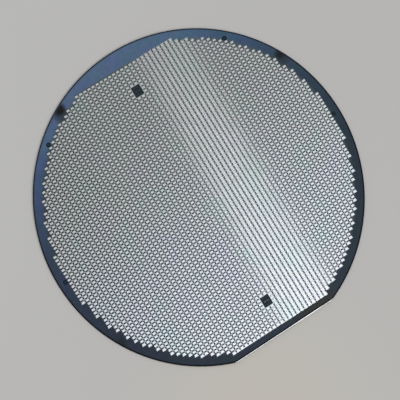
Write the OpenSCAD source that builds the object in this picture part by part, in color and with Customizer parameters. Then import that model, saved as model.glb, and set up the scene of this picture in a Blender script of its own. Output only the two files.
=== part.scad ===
// Processed silicon wafer, 125 mm across, with one primary flat.
// A thin slice of silicon carries columns of small dies in a built-up film, two square-cornered
// test sites in place of dies, and round alignment marks beside the die field.
// Units are millimetres. The origin is the centre of the wafer's circle, on its back face.
// +Z points out of the patterned face, +X runs along the primary flat, which faces -Y.

/* [Slice] */
// Diameter of the wafer
wafer_d = 125; // [100:1:150]
// Thickness of the bare slice
slice_t = 0.625; // [0.525:0.025:0.725]
// Length of the primary flat, measured along its chord
flat_length = 42.5; // [20:0.5:60]
// Radius of the rounded nose of the edge
nose_r = 0.25; // [0.15:0.01:0.25]
// Angle between the face and the bevel that leads to the nose
bevel_angle = 22; // [18:1:35]

/* [Die field] */
// Pitch of the die columns, along the flat
column_pitch = 1.784; // [1.2:0.001:4]
// Pitch of the die rows, across the flat
row_pitch = 1.3766; // [1:0.0001:3]
// Width of the bare street between two columns, and at the ends of each column
street_w = 0.34; // [0.05:0.01:0.5]
// Height of the built-up film over the bare slice
film_t = 0.02; // [0.01:0.005:0.05]
// Height of the top metal over the film
metal_t = 0.01; // [0.005:0.005:0.03]
// Width of the border along the round rim that holds no part of a die
rim_border = 2.69; // [1.5:0.01:8]
// Least width of the border along the flat that holds no die
flat_border = 2.9; // [1.5:0.1:8]

/* [Test sites] */
// Distance from the flat to the middle of the nearer test site
test_site_inset = 13.4; // [9:0.1:30]
// Die columns that a test site takes up
test_site_columns = 2; // [2:2:6]
// Die rows that a test site takes up
test_site_rows = 3; // [1:1:4]
// Width of the bare gap between a test site and the die columns round it
test_site_gap = 0.13; // [0.02:0.01:0.3]
// Spacing of the contact bars on a test site, along the flat
bar_pitch = 1.16; // [0.9:0.02:1.6]
// Length of each contact bar, as it lies along the flat
bar_l = 0.7; // [0.3:0.05:0.85]
// Width of each contact bar, across the flat
bar_w = 0.45; // [0.1:0.05:0.8]

/* [Alignment marks] */
// Diameter of each round alignment mark
mark_d = 1.8; // [0.5:0.1:2.5]
// Distance from the round rim to the middle of each alignment mark
mark_inset = 2.95; // [2:0.05:6]
// Width of the bare ring kept round each alignment mark
mark_gap = 0.08; // [0.02:0.01:0.5]

/* [Hidden] */

wafer_r = wafer_d / 2;
flat_reach = sqrt(wafer_r * wafer_r - flat_length * flat_length / 4);

// Where the straight bevel meets the round nose, and where it meets the face
tangent_in = nose_r * (1 - sin(bevel_angle));
tangent_rise = nose_r * cos(bevel_angle);
bevel_run = tangent_in + (slice_t / 2 - tangent_rise) / tan(bevel_angle);

film_top = slice_t + film_t;
metal_top = film_top + metal_t;

field_r = wafer_r - rim_border;
half_rows = floor((flat_reach - flat_border) / row_pitch - 0.5);
half_columns = floor(sqrt(field_r * field_r - row_pitch * row_pitch / 4) / column_pitch);
site_row = round((flat_reach - test_site_inset) / row_pitch);
site_y = site_row * row_pitch;
site_w = test_site_columns * column_pitch + street_w - 2 * test_site_gap;
site_l = test_site_rows * row_pitch + street_w - 2 * test_site_gap;
mark_ring_r = wafer_r - mark_inset;

// Rows above the middle one whose dies lie wholly inside the field, in the column
// whose outer side is outer_x from the wafer's centre
function rows_inside(outer_x) =
    min(half_rows, floor(sqrt(field_r * field_r - outer_x * outer_x) / row_pitch - 0.5));

// Section through the slice's edge, from start_x out to the nose at reach
module edge_section(start_x, reach) {
    polygon([
        [start_x, 0],
        [reach - bevel_run, 0],
        [reach - tangent_in, slice_t / 2 - tangent_rise],
        [reach - tangent_in, slice_t / 2 + tangent_rise],
        [reach - bevel_run, slice_t],
        [start_x, slice_t]
    ]);
    translate([reach - nose_r, slice_t / 2])
        circle(r = nose_r, $fn = 24);
}

module round_blank() {
    rotate_extrude($fn = 180)
        edge_section(0, wafer_r);
}

// A slab over the whole blank whose -Y side carries the same edge, for the flat
module flat_slab() {
    rotate([90, 0, -90])
        linear_extrude(height = wafer_d, center = true)
            edge_section(-wafer_r, flat_reach);
}

module silicon_slice() {
    color("#3f4d68")
        intersection() {
            round_blank();
            flat_slab();
        }
}

// A block on the slice's patterned face, centred on x and y, that rises to top
module raised_block(x, y, width, length, top) {
    translate([x - width / 2, y - length / 2, slice_t])
        cube([width, length, top - slice_t]);
}

module die_column(side, column) {
    rows = 2 * rows_inside(column * column_pitch) + 1;
    raised_block(
        side * (column - 0.5) * column_pitch,
        0,
        column_pitch - street_w,
        rows * row_pitch - street_w,
        film_top
    );
}

// The place of a test site with half a street on either side of it and a street at either
// end, which the die columns leave free
module site_clearing(side) {
    raised_block(
        0,
        side * site_y,
        test_site_columns * column_pitch,
        test_site_rows * row_pitch + street_w,
        metal_top
    );
}

// A disc on the slice's patterned face. One pair stands level with the upper test site,
// the other level with the wafer's centre.
module mark_discs(diameter) {
    for (y = [0, site_y], side = [-1, 1])
        translate([side * sqrt(mark_ring_r * mark_ring_r - y * y), y, slice_t])
            cylinder(d = diameter, h = metal_top - slice_t, $fn = 48);
}

module die_columns() {
    color("#bcc3c9")
        difference() {
            for (column = [1 : half_columns], side = [-1, 1])
                die_column(side, column);
            for (side = [-1, 1])
                site_clearing(side);
            mark_discs(mark_d + 2 * mark_gap);
        }
}

module test_site(side) {
    raised_block(0, side * site_y, site_w, site_l, film_top);
    for (column = [1 : test_site_columns], row = [1 : test_site_rows])
        raised_block(
            (column - (test_site_columns + 1) / 2) * bar_pitch,
            side * site_y + (row - (test_site_rows + 1) / 2) * row_pitch,
            bar_l,
            bar_w,
            metal_top
        );
}

module test_sites() {
    color("#262b33")
        for (side = [-1, 1])
            test_site(side);
}

module alignment_marks() {
    color("#141a22")
        mark_discs(mark_d);
}

silicon_slice();
die_columns();
test_sites();
alignment_marks();
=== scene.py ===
"""Looks of the processed silicon wafer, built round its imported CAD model.

Everything is in metres in the part's own frame: the origin is the centre of the wafer's circle
on its back face, +Z points out of the patterned face and the primary flat faces -Y. Only the
places and sizes that paint works with are in millimetres, the scale of its patterns.
"""

import math

import bpy
import numpy as np
from mathutils import Matrix, Vector


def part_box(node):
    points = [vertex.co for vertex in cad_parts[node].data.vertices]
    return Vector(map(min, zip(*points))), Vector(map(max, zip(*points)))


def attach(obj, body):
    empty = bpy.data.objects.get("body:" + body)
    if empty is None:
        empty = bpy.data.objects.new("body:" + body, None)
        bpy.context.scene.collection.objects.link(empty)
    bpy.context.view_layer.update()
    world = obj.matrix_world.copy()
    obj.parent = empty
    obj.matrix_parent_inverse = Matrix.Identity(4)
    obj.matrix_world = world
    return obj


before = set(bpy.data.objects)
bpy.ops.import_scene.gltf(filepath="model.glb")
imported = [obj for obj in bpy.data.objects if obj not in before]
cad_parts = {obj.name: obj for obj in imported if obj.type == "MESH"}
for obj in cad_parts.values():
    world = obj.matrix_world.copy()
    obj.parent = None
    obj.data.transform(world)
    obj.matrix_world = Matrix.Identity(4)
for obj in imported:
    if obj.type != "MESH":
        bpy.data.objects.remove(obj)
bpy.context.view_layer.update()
scene = bpy.context.scene

MM = 0.001
BODY = "root"

# ---------------------------------------------------------------- sizes, in metres

# The part's driving dimensions that its solids don't carry
COLUMN_PITCH = 1.784 * MM
ROW_PITCH = 1.3766 * MM
STREET_W = 0.34 * MM
RIM_BORDER = 2.69 * MM
FLAT_BORDER = 2.9 * MM
SITE_COLUMNS = 2
SITE_ROWS = 3
SITE_GAP = 0.13 * MM
MARK_D = 1.8 * MM
MARK_INSET = 2.95 * MM
MARK_GAP = 0.08 * MM

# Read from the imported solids, or worked out with them
slice_low, slice_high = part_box("silicon_slice")
film_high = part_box("die_columns")[1]
site_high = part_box("test_sites")[1]
WAFER_R = slice_high.x
FLAT_REACH = -slice_low.y
SLICE_TOP = slice_high.z
FILM_TOP = film_high.z
METAL_TOP = site_high.z
SITE_W = 2 * site_high.x
SITE_L = SITE_ROWS * ROW_PITCH + STREET_W - 2 * SITE_GAP
SITE_Y = site_high.y - SITE_L / 2
MARK_RING_R = WAFER_R - MARK_INSET
MARK_CLEARING_R = MARK_D / 2 + MARK_GAP

# The metal on the dies, the streets and the test sites, which only this script builds
SINK = 0.001 * MM                 # how far a small piece reaches into what carries it
ON_SLICE = SLICE_TOP - SINK       # where a piece on the slice starts
ON_FILM = FILM_TOP - SINK         # where a piece on the film starts
PAD_W = 1.14 * MM
PAD_L = 0.74 * MM
PAD_CUT = 0.14 * MM               # cut across each corner of a pad
PAD_SLOPE = 0.012 * MM            # run of a pad's etched side
RING_GAP = 0.015 * MM             # between a pad and the guard ring round it
RING_W = 0.05 * MM
RING_H = 0.006 * MM
RING_OUTER_W = PAD_W + 2 * (RING_GAP + RING_W)
RING_OUTER_L = PAD_L + 2 * (RING_GAP + RING_W)
KEY_W = 0.8 * MM                  # a key lies across a column street, over two columns' edges
KEY_L = 0.46 * MM
KEY_CUT = 0.12 * MM
KEY_H = 0.004 * MM
GROOVES = 6                       # in each grating of a row street
GROOVE_ANGLE = math.radians(10)
GROOVE_FLOOR = FILM_TOP + SINK / 2
GRATING_GAP = 0.008 * MM          # round a grating, to the rings, keys and bars beside it
END_BAR_W = 1.5 * MM              # a light bar closes each column at its end toward the flat
END_BAR_L = 0.31 * MM
END_BAR_REACH = -0.06 * MM        # how far it runs past the last row's share of the column
END_BAR_REACH_ROUND = -0.16 * MM  # the same where the column ends at the round rim
END_GRATING_W = 1.42 * MM         # a short grating closes each column at either end
END_GRATING_L_FLAT = 0.15 * MM
END_GRATING_L_FAR = 0.30 * MM
END_GROOVES = 3
END_KEY_W = 0.6 * MM              # a small key joins the end bars of equally long neighbours
END_KEY_L = 0.9 * END_BAR_L
PROBE_W = 0.2 * MM                # small pads stand in a row near either end of a test site
PROBE_CUT = 0.03 * MM
PROBE_SLOPE = 0.005 * MM
PROBE_PITCH = 0.42 * MM
PROBE_INSET = 0.45 * MM           # from the end of the site to the middle of a probe pad
PROBES_ASIDE = 3                  # on either side of the middle one of a row
SITE_FRAME_GAP = 0.02 * MM        # between a test site and the metal frame that closes it in
SITE_FRAME_W = 0.2 * MM

# ---------------------------------------------------------------- die positions


def rows_inside(outer_x):
    """How many rows above the middle one lie inside the field in a column that ends at outer_x."""
    half_rows = math.floor((FLAT_REACH - FLAT_BORDER) / ROW_PITCH - 0.5)
    field_r = WAFER_R - RIM_BORDER
    if outer_x >= field_r:
        return -1
    return min(half_rows, math.floor(math.sqrt(field_r**2 - outer_x**2) / ROW_PITCH - 0.5))


def die_sites():
    """The set of (column, row) that hold a die. Columns run .. -2 -1 1 2 .., rows .. -1 0 1 .."""
    site_row = round(SITE_Y / ROW_PITCH)
    taken = range(site_row - SITE_ROWS // 2, site_row + SITE_ROWS // 2 + 1)
    sites = set()
    column = 1
    while (rows := rows_inside(column * COLUMN_PITCH)) >= 0:
        for row in range(-rows, rows + 1):
            if column > SITE_COLUMNS // 2 or abs(row) not in taken:
                sites.update({(column, row), (-column, row)})
        column += 1
    return sites


def column_x(column):
    """Middle of a die column. Columns 1 and -1 lie on either side of the wafer's middle."""
    return math.copysign(abs(column) - 0.5, column) * COLUMN_PITCH


def beside(street):
    """The two columns on either side of a column street. Street 0 is on the wafer's middle."""
    left = street if street > 0 else street - 1
    right = street + 1 if street >= 0 else street
    return left, right


DIE_SET = die_sites()
DIES = sorted(DIE_SET)
DIE_PLACES = [(column_x(column), row * ROW_PITCH) for column, row in DIES]
LAST_COLUMN = max(column for column, row in DIES)
LAST_ROWS = {}
for column, row in DIES:
    LAST_ROWS[column] = max(row, LAST_ROWS.get(column, 0))
LAST_ROW = max(LAST_ROWS.values())
STREETS = range(1 - LAST_COLUMN, LAST_COLUMN)
MARKS = [(side * math.sqrt(MARK_RING_R**2 - y**2), y) for side in (-1, 1) for y in (0.0, SITE_Y)]


def clear_of_marks(x, y):
    """Whether the guard ring of a die at this place stays out of the marks' clearings."""
    for mark_x, mark_y in MARKS:
        gap_x = max(abs(x - mark_x) - RING_OUTER_W / 2, 0.0)
        gap_y = max(abs(y - mark_y) - RING_OUTER_L / 2, 0.0)
        if math.hypot(gap_x, gap_y) <= MARK_CLEARING_R:
            return False
    return True


# ---------------------------------------------------------------- mesh building


def rectangle(width, length):
    """Outline of a rectangle round the origin."""
    x, y = width / 2, length / 2
    return [(x, -y), (x, y), (-x, y), (-x, -y)]


def cut_rectangle(width, length, cut):
    """Outline of a rectangle round the origin with its corners cut off."""
    x, y = width / 2, length / 2
    return [
        (x, -y + cut), (x, y - cut), (x - cut, y), (-x + cut, y),
        (-x, y - cut), (-x, -y + cut), (-x + cut, -y), (x - cut, -y),
    ]


def prism(outline, low, high, inset=0.0):
    """Vertices and faces of a closed block over an outline, whose sides lean in by inset."""
    count = len(outline)
    reach = max(max(abs(x), abs(y)) for x, y in outline)
    shrink = 1 - inset / reach
    vertices = [(x, y, low) for x, y in outline]
    vertices += [(x * shrink, y * shrink, high) for x, y in outline]
    faces = [tuple(range(count - 1, -1, -1)), tuple(range(count, 2 * count))]
    for i in range(count):
        j = (i + 1) % count
        faces.append((i, j, count + j, count + i))
    return vertices, faces


def ring(inner_w, inner_l, width, low, high):
    """Vertices and faces of a closed rectangular frame round an opening."""
    inner = rectangle(inner_w, inner_l)
    outer = rectangle(inner_w + 2 * width, inner_l + 2 * width)
    loops = ((inner, low), (outer, low), (outer, high), (inner, high))
    vertices = [(x, y, z) for outline, z in loops for x, y in outline]
    faces = []
    for loop in range(4):
        here, after = 4 * loop, 4 * ((loop + 1) % 4)
        for i in range(4):
            j = (i + 1) % 4
            faces.append((here + i, after + i, after + j, here + j))
    return vertices, faces


def grating(width, length, base, grooves):
    """Vertices and faces of a closed plate whose top is a row of V grooves that run along X."""
    step = length / grooves / 2
    crest = GROOVE_FLOOR + step * math.tan(GROOVE_ANGLE)
    profile = [
        (-length / 2 + i * step, crest if i % 2 else GROOVE_FLOOR) for i in range(2 * grooves + 1)
    ]
    profile += [(length / 2, base), (-length / 2, base)]
    count = len(profile)
    vertices = [(side * width / 2, y, z) for side in (-1, 1) for y, z in profile]
    faces = [tuple(range(count)), tuple(range(2 * count - 1, count - 1, -1))]
    for i in range(count):
        j = (i + 1) % count
        faces.append((i, count + i, count + j, j))
    return vertices, faces


def repeated(name, shape, places, material):
    """One piece that holds a copy of the shape at each place, riding on the wafer."""
    vertices, faces = shape
    corners = np.array(vertices)[None] + np.array([(x, y, 0.0) for x, y in places])[:, None]
    count = len(vertices)
    all_faces = [
        tuple(copy * count + i for i in face) for copy in range(len(places)) for face in faces
    ]
    mesh = bpy.data.meshes.new(name)
    mesh.from_pydata(corners.reshape(-1, 3).tolist(), [], all_faces)
    mesh.materials.append(material)
    mesh.validate()
    piece = bpy.data.objects.new(name, mesh)
    scene.collection.objects.link(piece)
    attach(piece, BODY)
    return piece


# ---------------------------------------------------------------- node building

# What soft noise covers in practice, of its range from 0 to 1
NOISE_LOW = 0.3
NOISE_HIGH = 0.7


def grey(position, value):
    """A neutral stop of a colour ramp."""
    return position, value, value, value


class Nodes:
    """A node tree under construction, with short calls for the nodes used here."""

    def __init__(self, tree):
        self.tree = tree

    def feed(self, socket, value):
        """Links a node's output to a socket, or sets the socket to a plain value."""
        if isinstance(value, bpy.types.NodeSocket):
            self.tree.links.new(value, socket)
        else:
            socket.default_value = value

    def math(self, operation, first, second=0.0, third=0.0, clamp=False):
        node = self.tree.nodes.new("ShaderNodeMath")
        node.operation = operation
        node.use_clamp = clamp
        for socket, value in zip(node.inputs, (first, second, third)):
            self.feed(socket, value)
        return node.outputs[0]

    def vector(self, operation, first, second=(0.0, 0.0, 0.0), scale=1.0):
        node = self.tree.nodes.new("ShaderNodeVectorMath")
        node.operation = operation
        self.feed(node.inputs[0], first)
        if operation == "SCALE":
            node.inputs["Scale"].default_value = scale
        elif operation != "LENGTH":
            self.feed(node.inputs[1], second)
        return node.outputs["Value" if operation in ("LENGTH", "DISTANCE") else "Vector"]

    def split(self, vector):
        node = self.tree.nodes.new("ShaderNodeSeparateXYZ")
        self.feed(node.inputs[0], vector)
        return node.outputs

    def ramp(self, value, *stops):
        """Colour along stops of (position, red, green, blue)."""
        node = self.tree.nodes.new("ShaderNodeValToRGB")
        elements = node.color_ramp.elements
        while len(elements) < len(stops):
            elements.new(0.5)
        for element, (position, *colour) in zip(elements, stops):
            element.position = position
            element.color = (*colour, 1.0)
        self.feed(node.inputs[0], value)
        return node.outputs[0]

    def between(self, value, low, high, out_low=0.0, out_high=1.0):
        """Smooth step of the value between low and high."""
        node = self.tree.nodes.new("ShaderNodeMapRange")
        node.interpolation_type = "SMOOTHSTEP"
        numbers = {"From Min": low, "From Max": high, "To Min": out_low, "To Max": out_high}
        for socket, number in numbers.items():
            node.inputs[socket].default_value = number
        self.feed(node.inputs["Value"], value)
        return node.outputs[0]

    def mix(self, factor, first, second, blend="MIX"):
        node = self.tree.nodes.new("ShaderNodeMix")
        node.data_type = "RGBA"
        node.blend_type = blend
        self.feed(node.inputs["Factor"], factor)
        for name, colour in (("A", first), ("B", second)):
            socket = next(s for s in node.inputs if s.name == name and s.type == "RGBA")
            if not isinstance(colour, bpy.types.NodeSocket):
                colour = (*colour, 1.0)
            self.feed(socket, colour)
        return next(s for s in node.outputs if s.type == "RGBA")

    def times(self, colour, tint):
        return self.mix(1.0, colour, tint, "MULTIPLY")


# ---------------------------------------------------------------- paint, in millimetres

# Painted light and shade: every finish inside the die field grades in tone from the wafer's far side
# to its flat, the side of the key light
LIGHT_GRADE_SPAN = (56.0, -44.0)
LIGHT_GRADE_LEAN = -0.2                  # how much the grade turns toward +X

# Painted shade: the film, the streets and the gratings are darker at the wafer's left and lighter at
# its right
SHADE_SPAN = (-62.0, 62.0)
SHADE = (grey(0.0, 0.47), grey(0.27, 1.0), grey(0.73, 1.0), grey(0.97, 1.12))

# Tints of the clear film over the metal, as (position, red, green, blue): from the wafer's far
# side to its flat, and in patches from violet to green
FILM_SPAN = (46.0, -40.0)
FILM_DRIFT = 20.0                 # how far noise moves the grade either way
FILM_GRADE = ((0.0, 0.96, 1.0, 1.0), (0.55, 0.936, 0.998, 1.038), (1.0, 0.918, 0.994, 1.10))
FILM_PATCHES = ((0.34, 1.015, 0.985, 1.03), (0.50, 1.0, 1.0, 1.0), (0.66, 0.95, 1.015, 1.0))


class Paint(Nodes):
    """A procedural material under construction, which knows its place on the wafer."""

    def __init__(self, name, **fixed):
        self.material = bpy.data.materials.new(name)
        self.material.use_nodes = True
        super().__init__(self.material.node_tree)
        self.shader = self.tree.nodes["Principled BSDF"]
        for socket, value in fixed.items():
            self.shader.inputs[socket.replace("_", " ")].default_value = value
        coordinates = self.tree.nodes.new("ShaderNodeTexCoord")
        self.normal = coordinates.outputs["Normal"]
        self.place = self.vector("SCALE", coordinates.outputs["Object"], scale=1 / MM)

    def paint(self, socket, value):
        self.feed(self.shader.inputs[socket], value)

    def noise(self, size, detail=2.0, roughness=0.5):
        """Soft noise from 0 to 1 with features of this size."""
        node = self.tree.nodes.new("ShaderNodeTexNoise")
        self.feed(node.inputs["Vector"], self.place)
        node.inputs["Scale"].default_value = 1 / size
        node.inputs["Detail"].default_value = detail
        node.inputs["Roughness"].default_value = roughness
        return node.outputs[0]

    def mottled(self, size, low, high, detail=2.0):
        """A colour that varies between two, in patches of this size."""
        return self.ramp(self.noise(size, detail), (NOISE_LOW, *low), (NOISE_HIGH, *high))

    def uneven(self, size, low, high, detail=2.0):
        """A number that varies between two, in patches of this size."""
        return self.between(self.noise(size, detail), NOISE_LOW, NOISE_HIGH, low, high)

    def within(self, value, rise, fall):
        """1 on the stretch between a soft rise and a soft fall of the value, 0 outside it."""
        return self.math("MULTIPLY", self.between(value, *rise), self.between(value, *fall))

    def light_graded(self, colour, far, near):
        """The colour times a grey of painted light and shade that goes from far, at the far side, to
        near, by the flat.
        """
        x, y, _ = self.split(self.place)
        along = self.between(self.math("MULTIPLY_ADD", x, LIGHT_GRADE_LEAN, y), *LIGHT_GRADE_SPAN)
        return self.times(self.ramp(along, grey(0.0, far), grey(1.0, near)), colour)

    def shaded(self, colour):
        """The colour with the painted shade from the wafer's left to its right."""
        x = self.split(self.place)[0]
        return self.times(colour, self.ramp(self.between(x, *SHADE_SPAN), *SHADE))

    def interference(self, colour, depth=1.0):
        """The colour as a thin clear film tints it: bluer toward the flat, with faint patches."""
        y = self.split(self.place)[1]
        drift = self.math("MULTIPLY_ADD", self.noise(30.0), 2 * FILM_DRIFT, -FILM_DRIFT)
        layers = (
            (self.between(self.math("ADD", y, drift), *FILM_SPAN), FILM_GRADE),
            (self.noise(14.0, roughness=0.55), FILM_PATCHES),
        )
        for value, stops in layers:
            deeper = [(at, *(1 + (tint - 1) * depth for tint in tints)) for at, *tints in stops]
            colour = self.times(colour, self.ramp(value, *deeper))
        return colour

    def per_die(self):
        """A random number from 0 to 1 for each die's place."""
        x, y, _ = self.split(self.place)
        cell = self.tree.nodes.new("ShaderNodeCombineXYZ")
        column = self.math("FLOOR", self.math("DIVIDE", x, COLUMN_PITCH / MM))
        row = self.math("FLOOR", self.math("MULTIPLY_ADD", y, MM / ROW_PITCH, 0.5))
        self.feed(cell.inputs[0], column)
        self.feed(cell.inputs[1], row)
        noise = self.tree.nodes.new("ShaderNodeTexWhiteNoise")
        noise.noise_dimensions = "3D"
        self.feed(noise.inputs["Vector"], cell.outputs[0])
        return noise.outputs["Value"]

    def bump(self, height, distance, strength):
        """Roughens the surface by a height from 0 to 1 over this distance in metres."""
        node = self.tree.nodes.new("ShaderNodeBump")
        node.inputs["Strength"].default_value = strength
        node.inputs["Distance"].default_value = distance
        self.feed(node.inputs["Height"], height)
        self.paint("Normal", node.outputs[0])


# ---------------------------------------------------------------- the slice's finishes

# Where one finish of the slice gives way to the next, in millimetres from its centre or along Y
RIM = WAFER_R / MM
FLAT = -FLAT_REACH / MM
FIELD_END = (LAST_ROW + 0.5) * ROW_PITCH / MM
STREETS_WITHIN = (RIM - 3.0, RIM - 5.0)
STREETS_BELOW = (FIELD_END + 0.45, FIELD_END - 0.15)
RIM_LINE = (RIM - 0.8, RIM - 0.45)
FLAT_LINE = (FLAT + 1.03, FLAT + 0.73)
FLAT_BEVEL = (FLAT + 0.58, FLAT + 0.38)

# The same by how much the surface faces up
FACES = (0.985, 0.995)
BEVELS = (0.8, 0.9)
NOSE = (0.8, 0.7)

# Blue oxide of the bare rim: from the flat to the far side, from left to right and in patches
OXIDE_LEAN = -0.1                 # how much the grade turns toward -X
OXIDE_DRIFT = 5.0                 # how far noise moves the grade either way
OXIDE_SPAN = (-66.0, 66.0)
OXIDE_GRADE = (
    (0.00, 0.050, 0.066, 0.088),
    (0.30, 0.050, 0.066, 0.095),
    (0.54, 0.056, 0.081, 0.128),
    (0.70, 0.061, 0.094, 0.143),
    (0.82, 0.075, 0.120, 0.203),
    (0.92, 0.087, 0.150, 0.262),
    (0.96, 0.115, 0.193, 0.326),
    (1.00, 0.133, 0.212, 0.342),
)
OXIDE_SIDES = ((0.0, 1.0, 0.94, 0.99), grey(0.5, 1.0), (1.0, 0.94, 1.0, 0.95))
OXIDE_PATCHES = ((0.32, 1.03, 0.95, 1.08), grey(0.5, 1.0), (0.68, 0.94, 1.05, 0.95))

# A grey patch on the oxide beside the flat: where it starts and is full, on X twice and on Y
GREY_PATCH = (0.053, 0.057, 0.055)
GREY_PATCH_FROM_LEFT = (2.0, 12.0)
GREY_PATCH_FROM_RIGHT = (26.0, 20.0)
GREY_PATCH_FROM_FIELD = (-54.0, -56.0)

# The dark line that the face ends in: round the rim, from the flat to the far side, and at the flat
RIM_SPAN = (-40.0, 66.0)
RIM_GRADE = ((0.0, 0.006, 0.006, 0.009), (0.5, 0.013, 0.018, 0.027), (1.0, 0.045, 0.073, 0.126))
FLAT_DARK = (0.010, 0.011, 0.014)

# The ground edge: the stretch of the flat's bevel on X with its brightest painted highlight, and the
# nose from dark to light as painted light and shade
FLAT_BEVEL_HIGHLIGHT = (0.88, 0.89, 0.90)
FLAT_HIGHLIGHT_FROM_LEFT = (1.0, 7.0)
FLAT_HIGHLIGHT_FROM_RIGHT = (18.0, 14.0)
NOSE_LEAN = -0.6                  # how much the grade turns toward -X
NOSE_SPAN = (-50.0, 40.0)
NOSE_LIGHT_AND_SHADE = (grey(0.0, 0.18), grey(1.0, 0.80))

POLISHED = 0.10                   # roughness of the face, of the edge and of the back
GROUND = 0.40
LAPPED = 0.55

# Smudges left on the rim by tweezers and fingers, a haze under each core of dirt:
# angle round the wafer, distance from its centre, radius, strength and colour
DIRT = (0.021, 0.020, 0.014)
HAZE = (0.043, 0.050, 0.050)
SMUDGES = (
    (119.0, 60.0, 3.0, 0.70, HAZE),
    (117.5, 61.2, 2.4, 0.94, DIRT),
    (27.9, 60.6, 3.2, 0.55, HAZE),
    (28.9, 61.5, 2.0, 0.76, DIRT),
    (208.7, 61.3, 1.9, 0.48, DIRT),
)
SMUDGE_RAGGED = 1.6               # how far noise eats into a smudge
SMUDGE_SOFT = 0.6                 # how far inside its radius a smudge reaches its full strength


def oxide(paint, x, y, from_flat):
    """Blue oxide of the bare rim, with a fine mottle and a grey patch beside the flat."""
    film = paint.ramp(paint.between(from_flat, *OXIDE_SPAN), *OXIDE_GRADE)
    film = paint.times(film, paint.ramp(paint.between(x, *SHADE_SPAN), *OXIDE_SIDES))
    grey_patch = paint.within(x, GREY_PATCH_FROM_LEFT, GREY_PATCH_FROM_RIGHT)
    grey_patch = paint.math("MULTIPLY", grey_patch, paint.between(y, *GREY_PATCH_FROM_FIELD))
    film = paint.mix(grey_patch, film, GREY_PATCH)
    patches = paint.noise(7.0, detail=3.0, roughness=0.6)
    film = paint.times(film, paint.ramp(patches, *OXIDE_PATCHES))
    return paint.times(film, paint.mottled(1.6, (0.92, 0.92, 0.94), (1.08, 1.08, 1.06), detail=3.0))


def bare_street(paint):
    """Bare grey silicon between the die columns."""
    street = paint.mottled(0.4, (0.112, 0.126, 0.130), (0.137, 0.153, 0.158))
    return paint.shaded(paint.interference(paint.light_graded(street, 1.10, 0.86)))


def smudged(paint, colour):
    """The colour under the smudges, each with a ragged, soft edge."""
    for angle, distance, radius, strength, soil in SMUDGES:
        turn = math.radians(angle)
        spot = (distance * math.cos(turn), distance * math.sin(turn), SLICE_TOP / MM)
        away = paint.vector("DISTANCE", paint.place, spot)
        away = paint.math("MULTIPLY_ADD", paint.noise(1.2, detail=4.0), SMUDGE_RAGGED, away)
        dirt = paint.between(away, radius + SMUDGE_RAGGED, radius - SMUDGE_SOFT, 0.0, strength)
        colour = paint.mix(dirt, colour, soil)
    return colour


def face(paint, x, y, from_flat):
    """The patterned face: streets inside the field, oxide round it, a dark line at the edge."""
    reach = paint.vector("LENGTH", paint.vector("MULTIPLY", paint.place, (1.0, 1.0, 0.0)))
    in_rows = paint.between(paint.math("ABSOLUTE", y), *STREETS_BELOW)
    in_field = paint.math("MULTIPLY", paint.between(reach, *STREETS_WITHIN), in_rows)
    top = paint.mix(in_field, oxide(paint, x, y, from_flat), bare_street(paint))
    rim = paint.ramp(paint.between(from_flat, *RIM_SPAN), *RIM_GRADE)
    top = paint.mix(paint.between(reach, *RIM_LINE), smudged(paint, top), rim)
    return paint.mix(paint.between(y, *FLAT_LINE), top, FLAT_DARK)


def ground_edge(paint, x, y, up):
    """Bevels painted dark as shade and a nose painted from dark to light, with the flat's bevel
    ground and painted light as a highlight, brightest at one stretch.
    """
    # Painted shade: the bevels round the rim are painted nearly black
    bevel_shade = paint.mottled(0.6, (0.007, 0.008, 0.011), (0.013, 0.015, 0.018), detail=3.0)
    # Ground finish of the flat's bevel, painted light as a highlight and lightest on one stretch of
    # X as a painted highlight
    ground_and_highlight = paint.mottled(0.8, (0.42, 0.43, 0.44), (0.76, 0.77, 0.78), detail=4.0)
    ground_and_highlight = paint.mix(paint.within(x, FLAT_HIGHLIGHT_FROM_LEFT, FLAT_HIGHLIGHT_FROM_RIGHT), ground_and_highlight, FLAT_BEVEL_HIGHLIGHT)
    by_flat = paint.math("MULTIPLY", paint.between(y, *FLAT_BEVEL), paint.between(up, *BEVELS))
    edge = paint.mix(by_flat, bevel_shade, ground_and_highlight)
    # Painted light and shade on the nose: dark toward -Y and +X, light toward +Y and -X
    slanted = paint.math("MULTIPLY_ADD", x, NOSE_LEAN, y)
    nose_light_and_shade = paint.ramp(paint.between(slanted, *NOSE_SPAN), *NOSE_LIGHT_AND_SHADE)
    return paint.mix(paint.between(up, *NOSE), edge, nose_light_and_shade)


def slice_paint():
    """Polished silicon with its oxide and bare streets, its ground edge and its lapped back."""
    paint = Paint("oxide_on_polished_silicon", Metallic=1.0)
    x, y, _ = paint.split(paint.place)
    up = paint.split(paint.normal)[2]
    drift = paint.math("MULTIPLY_ADD", paint.noise(16.0), 2 * OXIDE_DRIFT, -OXIDE_DRIFT)
    from_flat = paint.math("ADD", paint.math("MULTIPLY_ADD", x, OXIDE_LEAN, y), drift)
    on_top = paint.between(up, *FACES)
    on_back = paint.between(paint.math("MULTIPLY", up, -1.0), *FACES)
    lapped = paint.mottled(0.5, (0.140, 0.143, 0.150), (0.189, 0.193, 0.199), detail=4.0)
    colour = paint.mix(on_top, ground_edge(paint, x, y, up), face(paint, x, y, from_flat))
    paint.paint("Base Color", paint.mix(on_back, colour, lapped))
    roughness = paint.math("MULTIPLY_ADD", on_top, POLISHED - GROUND, GROUND)
    paint.paint("Roughness", paint.math("MULTIPLY_ADD", on_back, LAPPED - GROUND, roughness))
    return paint.material


# ---------------------------------------------------------------- the other finishes


def column_paint():
    """Dark passivation over the die columns, which shows between the metal."""
    paint = Paint("passivated_die_film", Metallic=0.0, Specular_IOR_Level=0.15)
    base = paint.mottled(0.35, (0.049, 0.061, 0.066), (0.068, 0.083, 0.089), detail=3.0)
    base = paint.light_graded(base, 1.05, 0.82)
    paint.paint("Base Color", paint.shaded(paint.interference(base, 2.0)))
    paint.paint("Roughness", paint.uneven(0.2, 0.32, 0.42))
    return paint.material


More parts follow.
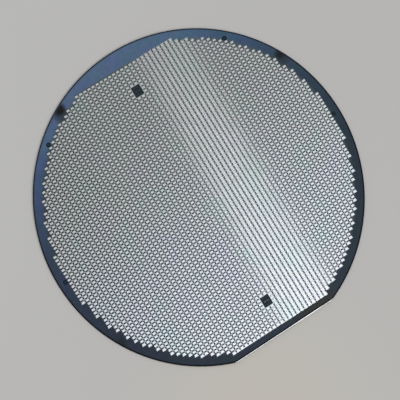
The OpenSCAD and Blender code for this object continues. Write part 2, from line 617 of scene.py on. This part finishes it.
def pad_paint():
    """Satin aluminium of the die pads, with faint interference colours, small differences and
    painted light that brightens them toward the flat.
    """
    paint = Paint("satin_aluminium_pad", Metallic=1.0)
    own = paint.ramp(paint.per_die(), (0.0, 0.955, 0.965, 0.975), (1.0, 1.015, 1.025, 1.04))
    # Painted light: the tone grade lightens the pads toward the flat
    paint.paint("Base Color", paint.interference(paint.light_graded(own, 0.66, 0.915)))
    paint.paint("Roughness", paint.uneven(0.12, 0.38, 0.46, detail=3.0))
    paint.bump(paint.noise(0.05), 0.0005 * MM, 0.3)
    return paint.material


def ring_paint():
    """Smoother metal of the guard rings, with painted light that takes it from grey far from the
    flat to light near it.
    """
    paint = Paint("guard_ring_metal", Metallic=1.0)
    own = paint.mottled(0.5, (0.97, 0.97, 0.98), (1.02, 1.02, 1.03))
    # Painted light: the tone grade lightens the rings toward the flat
    paint.paint("Base Color", paint.interference(paint.light_graded(own, 0.38, 0.93)))
    paint.paint("Roughness", paint.uneven(0.12, 0.34, 0.42))
    return paint.material


def grating_paint():
    """Dark, clean metal of the fine gratings, smooth enough to mirror the strip light."""
    paint = Paint("dark_grating_metal", Metallic=1.0)
    base = paint.mottled(3.0, (0.091, 0.099, 0.101), (0.099, 0.108, 0.110))
    base = paint.light_graded(base, 1.14, 0.80)
    paint.paint("Base Color", paint.shaded(paint.interference(base, 0.8)))
    paint.paint("Roughness", paint.uneven(0.8, 0.065, 0.075))
    return paint.material


def key_paint():
    """Grey metal of the keys that lie across the street crossings."""
    paint = Paint("grey_street_metal", Metallic=1.0)
    own = paint.mottled(0.3, (0.9, 0.9, 0.9), (1.1, 1.1, 1.1), detail=3.0)
    paint.paint("Base Color", paint.interference(paint.light_graded(own, 0.385, 0.50), 1.4))
    paint.paint("Roughness", paint.uneven(0.2, 0.40, 0.50))
    return paint.material


# The contact bars are told apart by their height, and those in a site's middle are lightest
ABOVE_FILM = (FILM_TOP / MM + 0.004, FILM_TOP / MM + 0.006)
MIDDLE_BAR = (0.6, 0.3)           # how near a site's middle their lighter tone starts and is full
SITES_SPAN = (-20.0, 20.0)        # from the site by the flat to the far one
MIDDLE_BARS = ((0.0, 0.135, 0.155, 0.170), (1.0, 0.052, 0.060, 0.076))


def site_paint():
    """Nearly black film of the test sites, with lighter bars, lightest in the middle of a site."""
    paint = Paint("dark_test_site_film", Metallic=0.0, Specular_IOR_Level=0.12)
    _, y, z = paint.split(paint.place)
    base = paint.mottled(0.7, (0.012, 0.022, 0.029), (0.024, 0.037, 0.049), detail=3.0)
    bars = paint.mottled(0.3, (0.030, 0.038, 0.047), (0.046, 0.057, 0.070))
    middle = paint.ramp(paint.between(y, *SITES_SPAN), *MIDDLE_BARS)
    off_middle = paint.math("SUBTRACT", paint.math("ABSOLUTE", y), SITE_Y / MM)
    off_middle = paint.math("ABSOLUTE", off_middle)
    bars = paint.mix(paint.between(off_middle, *MIDDLE_BAR), bars, middle)
    on_bar = paint.between(z, *ABOVE_FILM)
    paint.paint("Base Color", paint.mix(on_bar, base, bars))
    paint.paint("Roughness", paint.math("MULTIPLY_ADD", on_bar, 0.15, 0.25))
    return paint.material


MARK_MIDDLE = (0.6, 0.2)          # how near a mark's middle the lighter spot starts and is full
RIGHT_HAND = (50.0, 56.0)         # the mark at the +X end of the wafer's middle lies past this


def mark_paint():
    """Black film of the alignment marks, with a lighter spot except in the right-hand one."""
    paint = Paint("black_mark_film", Metallic=0.0, Specular_IOR_Level=0.1)
    base = paint.mottled(0.4, (0.003, 0.013, 0.023), (0.008, 0.020, 0.034), detail=3.0)
    folded = paint.vector("ABSOLUTE", paint.place)
    from_marks = [
        paint.vector("DISTANCE", folded, (x / MM, y / MM, METAL_TOP / MM)) for x, y in MARKS if x > 0
    ]
    right_hand = paint.between(paint.split(paint.place)[0], *RIGHT_HAND)
    middle = paint.between(paint.math("MINIMUM", *from_marks), *MARK_MIDDLE)
    base = paint.mix(middle, base, (0.022, 0.038, 0.062))
    paint.paint("Base Color", paint.mix(right_hand, base, (0.010, 0.026, 0.034)))
    paint.paint("Roughness", paint.uneven(0.3, 0.28, 0.36))
    return paint.material


FLOOR_LEAN = 0.6                  # how much the floor's grade turns toward +X
FLOOR_SPAN = 240.0
FLOOR_GRADE = ((0.0, 0.615, 0.616, 0.616), (0.5, 0.584, 0.582, 0.580), (1.0, 0.567, 0.563, 0.553))
WARM_CAST = (0.604, 0.585, 0.541)
WARM_MIDDLE = (-24.0, -78.0, 0.0)
WARM_REACH = (62.0, 8.0)          # from its middle, where the cast starts and is full


def floor_paint():
    """Plain pale grey that grades gently, with a warm cast below the wafer's left."""
    paint = Paint("pale_grey_floor", Roughness=0.9, Specular_IOR_Level=0.0)
    x, y, _ = paint.split(paint.place)
    along = paint.math("MULTIPLY_ADD", x, FLOOR_LEAN, paint.math("MULTIPLY", y, -1.0))
    along = paint.math("MULTIPLY_ADD", along, 1 / FLOOR_SPAN, 0.5, clamp=True)
    away = paint.vector("DISTANCE", paint.place, WARM_MIDDLE)
    base = paint.mix(paint.between(away, *WARM_REACH), paint.ramp(along, *FLOOR_GRADE), WARM_CAST)
    own = paint.mottled(90.0, (0.995, 0.995, 0.995), (1.005, 1.005, 1.005))
    paint.paint("Base Color", paint.times(base, own))
    return paint.material


# ---------------------------------------------------------------- dressing the CAD nodes

pad_material = pad_paint()
ring_material = ring_paint()
key_material = key_paint()
grating_material = grating_paint()
site_material = site_paint()


def dress(node, material):
    """Gives a CAD node this material alone."""
    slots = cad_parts[node].data.materials
    slots.clear()
    slots.append(material)


dress("silicon_slice", slice_paint())
dress("die_columns", column_paint())
dress("test_sites", site_material)
dress("alignment_marks", mark_paint())

# ---------------------------------------------------------------- pieces on the dies


def add_pads():
    shape = prism(cut_rectangle(PAD_W, PAD_L, PAD_CUT), ON_FILM, METAL_TOP, PAD_SLOPE)
    repeated("die_pads", shape, DIE_PLACES, pad_material)


def add_pad_rings():
    shape = ring(PAD_W + 2 * RING_GAP, PAD_L + 2 * RING_GAP, RING_W, ON_FILM, FILM_TOP + RING_H)
    places = [place for place in DIE_PLACES if clear_of_marks(*place)]
    repeated("pad_rings", shape, places, ring_material)


def add_street_gratings(side, name):
    """A grating in the row street between each two dies of a column, on one side of the wafer."""
    shape = grating(
        COLUMN_PITCH - KEY_W - 2 * GRATING_GAP,
        ROW_PITCH - RING_OUTER_L - 2 * GRATING_GAP,
        ON_FILM,
        GROOVES,
    )
    places = [
        (column_x(column), (row + 0.5) * ROW_PITCH)
        for column, row in DIES
        if column * side > 0 and (column, row + 1) in DIE_SET
    ]
    repeated(name, shape, places, grating_material)


def add_street_keys():
    """A key on each crossing of streets that has dies all round it."""
    shape = prism(cut_rectangle(KEY_W, KEY_L, KEY_CUT), ON_SLICE, FILM_TOP + KEY_H)
    places = []
    for street in STREETS:
        left, right = beside(street)
        for row in range(-LAST_ROW, LAST_ROW):
            if {(left, row), (right, row), (left, row + 1), (right, row + 1)} <= DIE_SET:
                places.append((street * COLUMN_PITCH, (row + 0.5) * ROW_PITCH))
    repeated("street_keys", shape, places, key_material)


add_pads()
add_pad_rings()
add_street_gratings(-1, "street_gratings_left")
add_street_gratings(1, "street_gratings_right")
add_street_keys()

# ---------------------------------------------------------------- the ends of the columns


def bar_end(column):
    """How far from the wafer's middle the bar ends that closes this column toward the flat."""
    reach = END_BAR_REACH if LAST_ROWS[column] == LAST_ROW else END_BAR_REACH_ROUND
    return (LAST_ROWS[column] + 0.5) * ROW_PITCH + reach


def bar_y(column):
    return END_BAR_L / 2 - bar_end(column)


def add_end_bars():
    shape = prism(rectangle(END_BAR_W, END_BAR_L), ON_SLICE, FILM_TOP + KEY_H)
    places = [(column_x(column), bar_y(column)) for column in sorted(LAST_ROWS)]
    repeated("column_end_bars", shape, places, pad_material)


def add_end_gratings(name, length, grating_y):
    """A short grating at one end of each column, whose middle grating_y gives."""
    shape = grating(END_GRATING_W, length, ON_SLICE, END_GROOVES)
    places = [(column_x(column), grating_y(column)) for column in sorted(LAST_ROWS)]
    repeated(name, shape, places, grating_material)


def near_grating_y(column):
    return -(bar_end(column) + GRATING_GAP + END_GRATING_L_FLAT / 2)


def far_grating_y(column):
    last_ring_end = LAST_ROWS[column] * ROW_PITCH + RING_OUTER_L / 2
    return last_ring_end + GRATING_GAP + END_GRATING_L_FAR / 2


def add_end_keys():
    shape = prism(rectangle(END_KEY_W, END_KEY_L), ON_SLICE, FILM_TOP + KEY_H / 2)
    places = []
    for street in STREETS:
        left, right = beside(street)
        if LAST_ROWS[left] == LAST_ROWS[right]:
            places.append((street * COLUMN_PITCH, bar_y(left)))
    repeated("column_end_keys", shape, places, key_material)


add_end_bars()
add_end_gratings("end_gratings_near_flat", END_GRATING_L_FLAT, near_grating_y)
add_end_gratings("end_gratings_far", END_GRATING_L_FAR, far_grating_y)
add_end_keys()

# ---------------------------------------------------------------- pieces on the test sites


def add_probe_pads():
    """Two rows of small pads on each test site, between its rows of contact bars."""
    shape = prism(cut_rectangle(PROBE_W, PROBE_W, PROBE_CUT), ON_FILM, METAL_TOP, PROBE_SLOPE)
    places = [
        (column * PROBE_PITCH, side * SITE_Y + end * (SITE_L / 2 - PROBE_INSET))
        for side in (-1, 1)
        for column in range(-PROBES_ASIDE, PROBES_ASIDE + 1)
        for end in (-1, 1)
    ]
    repeated("test_site_probe_pads", shape, places, site_material)


def add_site_frame(side, name):
    shape = ring(
        SITE_W + 2 * SITE_FRAME_GAP,
        SITE_L + 2 * SITE_FRAME_GAP,
        SITE_FRAME_W,
        ON_SLICE,
        FILM_TOP + KEY_H,
    )
    repeated(name, shape, [(0.0, side * SITE_Y)], pad_material)


add_probe_pads()
add_site_frame(-1, "test_site_frame_lower")
add_site_frame(1, "test_site_frame_upper")

# ---------------------------------------------------------------- floor and light

FLOOR_HALF = 4.0
STUDIO_STRENGTH = 0.60            # of the white world, which lights the wafer from all sides
KEY_LIGHT_PLACE = (0.15, -0.95, 0.85)
KEY_LIGHT_SIZE = (0.9, 0.6)
KEY_LIGHT_RADIANCE = 2.0

# A long, slim light over the wafer, which the gratings mirror as a bright band. It runs from
# its near end to its far end, grows stronger and warmer that way, and flares toward the end.
STRIP_NEAR = Vector((0.285, -0.275, 1.1))
STRIP_FAR = Vector((0.2962, -0.69, 1.1))
STRIP_W = 0.0735
STRIP_RADIANCE = 12.9
STRIP_NEAR_GAIN = 0.44
STRIP_FAR_GAIN = 2.6
STRIP_CURVE = 1.3                 # power by which the gain grows
STRIP_NEAR_COLOUR = (1.0, 0.925, 0.90)
STRIP_FAR_COLOUR = (1.0, 0.925, 0.78)
STRIP_SLIM = 0.83                 # share of the width that is lit before the flare
STRIP_FLARE = (0.62, 0.95)        # where the flare starts and is complete, from 0 near to 1 far
STRIP_SOFT_EDGE = 0.04


def add_floor():
    mesh = bpy.data.meshes.new("floor")
    corners = [(x, y, 0.0) for x, y in rectangle(2 * FLOOR_HALF, 2 * FLOOR_HALF)]
    mesh.from_pydata(corners, [], [(0, 1, 2, 3)])
    mesh.materials.append(floor_paint())
    floor = bpy.data.objects.new("floor", mesh)
    scene.collection.objects.link(floor)


def add_world():
    world = bpy.data.worlds.new("plain_studio")
    world.use_nodes = True
    background = world.node_tree.nodes["Background"]
    background.inputs["Color"].default_value = (1.0, 1.0, 1.0, 1.0)
    background.inputs["Strength"].default_value = STUDIO_STRENGTH
    scene.world = world


def softbox(name, centre, width, length, radiance, along=(0.0, 1.0, 0.0)):
    """An area light that faces the wafer's middle, with its long side along a direction."""
    light = bpy.data.lights.new(name, "AREA")
    light.shape = "RECTANGLE"
    light.size = width
    light.size_y = length
    light.energy = radiance * math.pi * width * length
    back = Vector(centre).normalized()
    side = Vector(along).cross(back).normalized()
    up = back.cross(side)
    turn = Matrix((side, up, back)).transposed().to_4x4()
    lamp = bpy.data.objects.new(name, light)
    lamp.matrix_world = Matrix.Translation(Vector(centre)) @ turn
    scene.collection.objects.link(lamp)
    return lamp


def add_strip():
    """The strip light, with nodes for its strength and colour along it and for its lit width."""
    along = STRIP_NEAR - STRIP_FAR
    middle = (STRIP_NEAR + STRIP_FAR) / 2
    lamp = softbox("strip_light", middle, STRIP_W, along.length, STRIP_RADIANCE, along)
    lamp.data.use_nodes = True
    nodes = Nodes(lamp.data.node_tree)
    geometry = nodes.tree.nodes.new("ShaderNodeNewGeometry")
    across, from_far, _ = nodes.split(geometry.outputs["Parametric"])
    from_near = nodes.math("SUBTRACT", 1.0, from_far)
    gain = nodes.math("POWER", from_near, STRIP_CURVE)
    gain = nodes.math("MULTIPLY_ADD", gain, STRIP_FAR_GAIN - STRIP_NEAR_GAIN, STRIP_NEAR_GAIN)
    off_middle = nodes.math("ABSOLUTE", nodes.math("MULTIPLY_ADD", across, 2.0, -1.0))
    half_width = nodes.between(from_near, *STRIP_FLARE, STRIP_SLIM, 1.0)
    lit = nodes.between(nodes.math("SUBTRACT", half_width, off_middle), 0.0, STRIP_SOFT_EDGE)
    colour = nodes.ramp(from_near, (0.0, *STRIP_NEAR_COLOUR), (1.0, *STRIP_FAR_COLOUR))
    emission = nodes.tree.nodes["Emission"]
    nodes.feed(emission.inputs["Strength"], nodes.math("MULTIPLY", gain, lit))
    nodes.feed(emission.inputs["Color"], colour)


scene.view_settings.view_transform = "Standard"
add_floor()
add_world()
add_strip()
softbox("key_softbox", KEY_LIGHT_PLACE, *KEY_LIGHT_SIZE, KEY_LIGHT_RADIANCE)

# ---------------------------------------------------------------- camera

# The photograph's viewpoint: looking down on the wafer from 78 degrees above the horizon
CAMERA_AIM = Vector((-1.321, -0.741, 0.0)) * MM
CAMERA_AZIMUTH = math.radians(-105.663)
CAMERA_ELEVATION = math.radians(78.085)
CAMERA_ROLL = math.radians(-73.801)
CAMERA_DISTANCE = 586.04 * MM
CAMERA_LENS = 143.08


def add_camera():
    data = bpy.data.cameras.new("photo_camera")
    data.lens = CAMERA_LENS
    data.clip_start = 0.01
    data.clip_end = 20.0
    camera = bpy.data.objects.new("photo_camera", data)
    back = Vector((
        math.cos(CAMERA_ELEVATION) * math.sin(CAMERA_AZIMUTH),
        -math.cos(CAMERA_ELEVATION) * math.cos(CAMERA_AZIMUTH),
        math.sin(CAMERA_ELEVATION),
    ))
    level_right = (-back).cross(Vector((0.0, 0.0, 1.0))).normalized()
    level_up = level_right.cross(-back)
    up = math.cos(CAMERA_ROLL) * level_up + math.sin(CAMERA_ROLL) * level_right
    turn = Matrix((up.cross(back), up, back)).transposed().to_4x4()
    camera.matrix_world = Matrix.Translation(CAMERA_AIM + CAMERA_DISTANCE * back) @ turn
    scene.collection.objects.link(camera)
    scene.camera = camera


add_camera()
